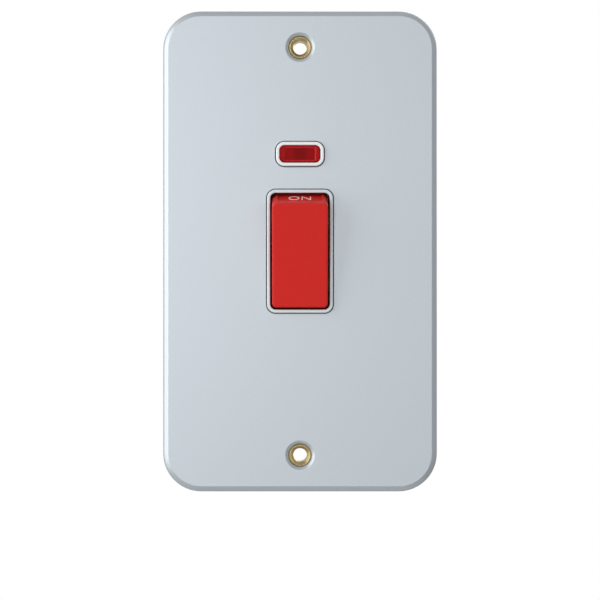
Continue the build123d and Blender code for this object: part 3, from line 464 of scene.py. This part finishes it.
def add_studs(material):
    """Threaded studs in place of the plain ones, one in each quarter of the plate."""
    node = "plate_studs"
    low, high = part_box(node)
    middle_x = (low[0] + high[0]) / 2
    middle_z = (low[2] + high[2]) / 2
    source = frame["nodes"][node]
    places = [source.matrix_world @ v.co for v in source.data.vertices]
    work = bmesh.new()
    for side in (-1, 1):
        for end in (-1, 1):
            stud = [p for p in places if side * (p.x - middle_x) > 0 and end * (p.z - middle_z) > 0]
            least_x, most_x = min(p.x for p in stud), max(p.x for p in stud)
            x = (least_x + most_x) / 2
            z = (min(p.z for p in stud) + max(p.z for p in stud)) / 2
            add_rod(work, x, z, low[1], high[1], (most_x - least_x) / 2, STUD_PITCH)
    stand_in(node, "threaded", threaded_mesh(node, work), material, "housing")


def add_threads(materials):
    """The screws and studs with their threads."""
    for pole in ("line", "neutral"):
        for end in ("load", "supply"):
            add_screw(f"{pole}_{end}_screw", SCREW_HEAD, materials["plated_steel"])
    for side in ("left", "right"):
        add_screw(f"earth_screw_{side}", EARTH_SCREW_HEAD, materials["brass"])
    add_studs(materials["plated_steel"])


def joint_named(name):
    """One joint of the frame."""
    return next(j for j in frame["joints"] if j["name"] == name)


def add_legend(material):
    """The word ON, printed in the recess of the rocker's upper end."""
    curve = bpy.data.curves.new("on_legend", "FONT")
    curve.body = "ON"
    curve.align_x = "CENTER"
    curve.align_y = "BOTTOM_BASELINE"
    curve.size = LETTER_HEIGHT / CAPITAL
    curve.extrude = LETTER_RELIEF
    curve.offset = -LETTER_THINNED
    piece = new_piece("on_legend", curve)
    joint = joint_named("rocker_tilt")
    tilt = -math.radians(joint["range_deg"][0]) / 2
    rocker = Matrix.Translation(joint["pos_m"]) @ Matrix.Rotation(tilt, 4, "X")
    end = Matrix.Translation((0, -ROCKER_RISE, ROCKER_HALF)) @ Matrix.Rotation(ROCKER_END_DRAFT, 4, "X")
    recess = Matrix.Translation((0, LEGEND_FROM_CREASE, 0)) @ Matrix.Rotation(-LEGEND_SLOPE, 4, "X")
    letters = Matrix.Translation((0, LETTER_RISE, LETTER_RELIEF))
    piece.matrix_world = rocker @ end @ recess @ letters @ Matrix.Diagonal((LETTER_NARROW, 1, 1, 1))
    dress(piece, material)
    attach(piece, "rocker")


def add_leads(materials):
    """Smooth insulated leads in place of the plain ones."""
    for pole, slot in (("line", "brown_lead"), ("neutral", "blue_lead")):
        node = f"{pole}_neon_lead"
        low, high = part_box(node)
        side = -1 if pole == "line" else 1
        radius = (high[1] - low[1]) / 2
        y = (high[1] + low[1]) / 2
        start_x = min(abs(low[0]), abs(high[0]))
        end_x = max(abs(low[0]), abs(high[0])) - radius
        top_z = high[2] - radius
        corner = ((end_x - LEAD_BEND, top_z), (end_x, top_z), (end_x, top_z - LEAD_BEND))
        route = ((start_x, top_z), *corner, (end_x, low[2]))
        curve = bpy.data.curves.new(f"{node}_tube", "CURVE")
        curve.dimensions = "3D"
        curve.bevel_depth = radius
        curve.bevel_resolution = LEAD_STEPS
        curve.use_fill_caps = True
        spline = curve.splines.new("NURBS")
        spline.points.add(len(route) - 1)
        for point, (x, z) in zip(spline.points, route):
            point.co = (side * x, y, z, 1.0)
        spline.order_u = 3
        spline.use_endpoint_u = True
        stand_in(node, "tube", curve, materials[slot], "housing")


def add_springs(material):
    """Own copies of the springs in place of the CAD ones, carried with the rocker."""
    for pole in ("line", "neutral"):
        node = f"{pole}_plunger_spring"
        source = frame["nodes"][node]
        piece = stand_in(node, "coil", source.data.copy(), material, "rocker")
        piece.matrix_world = source.matrix_world
        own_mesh(piece)


def floor_material():
    """Pale floor that fades out towards its edge."""
    material = finish("floor", FLOOR_GREY, 0.01, 4.0 * MM, (0.7, 0.8), 0.01 * MM)
    tree = material.node_tree
    coords = tree.nodes.new("ShaderNodeTexCoord")
    away = tree.nodes.new("ShaderNodeVectorMath")
    away.operation = "LENGTH"
    tree.links.new(coords.outputs["Object"], away.inputs[0])
    cover = mapped(tree, away.outputs["Value"], (FLOOR_FULL, FLOOR_HALF), (1.0, 0.0), "SMOOTHSTEP")
    tree.links.new(cover, tree.nodes["Principled BSDF"].inputs["Alpha"])
    return material


def add_floor(bottom):
    """Plain pale floor well below the part."""
    half = FLOOR_HALF
    corners = [(-half, -half, 0), (half, -half, 0), (half, half, 0), (-half, half, 0)]
    mesh = bpy.data.meshes.new("floor")
    mesh.from_pydata(corners, [], [(0, 1, 2, 3)])
    floor = new_piece("floor", mesh)
    floor.location = (0.0, 0.0, bottom - FLOOR_BELOW)
    dress(floor, floor_material())


def add_world():
    """Soft room light, weaker from below. The camera sees white, gloss and glass a white backdrop behind."""
    world = bpy.data.worlds.new("studio")
    bpy.context.scene.world = world
    world.use_nodes = True
    tree = world.node_tree
    coords = tree.nodes.new("ShaderNodeTexCoord")
    split = tree.nodes.new("ShaderNodeSeparateXYZ")
    tree.links.new(coords.outputs["Generated"], split.inputs["Vector"])
    room = tree.nodes["Background"]
    room.inputs["Color"].default_value = WHITE
    level = mapped(tree, split.outputs["Z"], ROOM_FADE, (ROOM_BELOW, ROOM_LIGHT))
    tree.links.new(level, room.inputs["Strength"])
    white = tree.nodes.new("ShaderNodeBackground")
    white.inputs["Color"].default_value = WHITE
    rays = tree.nodes.new("ShaderNodeLightPath").outputs
    mirrored = combined(tree, "MAXIMUM", rays["Is Glossy Ray"], rays["Is Transmission Ray"])
    behind = mapped(tree, split.outputs["Y"], BACKDROP_EDGE, (0.0, 1.0), "SMOOTHSTEP")
    backdrop = combined(tree, "MULTIPLY", mirrored, behind)
    mix = tree.nodes.new("ShaderNodeMixShader")
    tree.links.new(combined(tree, "MAXIMUM", rays["Is Camera Ray"], backdrop), mix.inputs["Fac"])
    tree.links.new(room.outputs["Background"], mix.inputs[1])
    tree.links.new(white.outputs["Background"], mix.inputs[2])
    tree.links.new(mix.outputs["Shader"], tree.nodes["World Output"].inputs["Surface"])


def add_lamps():
    """Soft lamps round the part."""
    for name, place, size, watts in LAMPS:
        lamp = bpy.data.lights.new(name, "AREA")
        lamp.shape = "RECTANGLE"
        lamp.size, lamp.size_y = size
        lamp.energy = watts
        piece = new_piece(name, lamp)
        piece.location = place
        piece.rotation_euler = (-Vector(place)).to_track_quat("-Z", "Y").to_euler()


def add_camera(face_y):
    """Level camera in front of the plate, with the photograph's frame."""
    lens = bpy.data.cameras.new("camera")
    lens.sensor_fit = "HORIZONTAL"
    lens.sensor_width = SENSOR
    lens.lens = SENSOR * CAMERA_DISTANCE / PHOTO_HEIGHT
    lens.clip_start = CLIP_START
    camera = new_piece("camera", lens)
    camera.location = (0.0, face_y - CAMERA_DISTANCE, CAMERA_Z)
    camera.rotation_euler = (math.pi / 2, 0.0, 0.0)
    bpy.context.scene.camera = camera


materials = slot_materials()
dress_nodes(materials)
# The legend: the ink's own pale colour with a pink tint of painted red bounce light.
add_legend(finish("legend_ink_and_painted_bounce", LEGEND_INK_AND_PAINTED_BOUNCE, 0.03, 0.3 * MM, (0.35, 0.45), 0.001 * MM))
add_leads(materials)
add_springs(materials["spring_steel"])
add_threads(materials)
round_edges("front_plate", PLATE_ROUNDS, materials["plate_paint"], "housing")
round_edges("rocker", ROCKER_ROUNDS, materials["red_rocker"], "rocker")
add_floor(cad_box[0][2])
add_world()
add_lamps()
add_camera(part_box("front_plate")[0][1])
bpy.context.scene.view_settings.view_transform = "Standard"
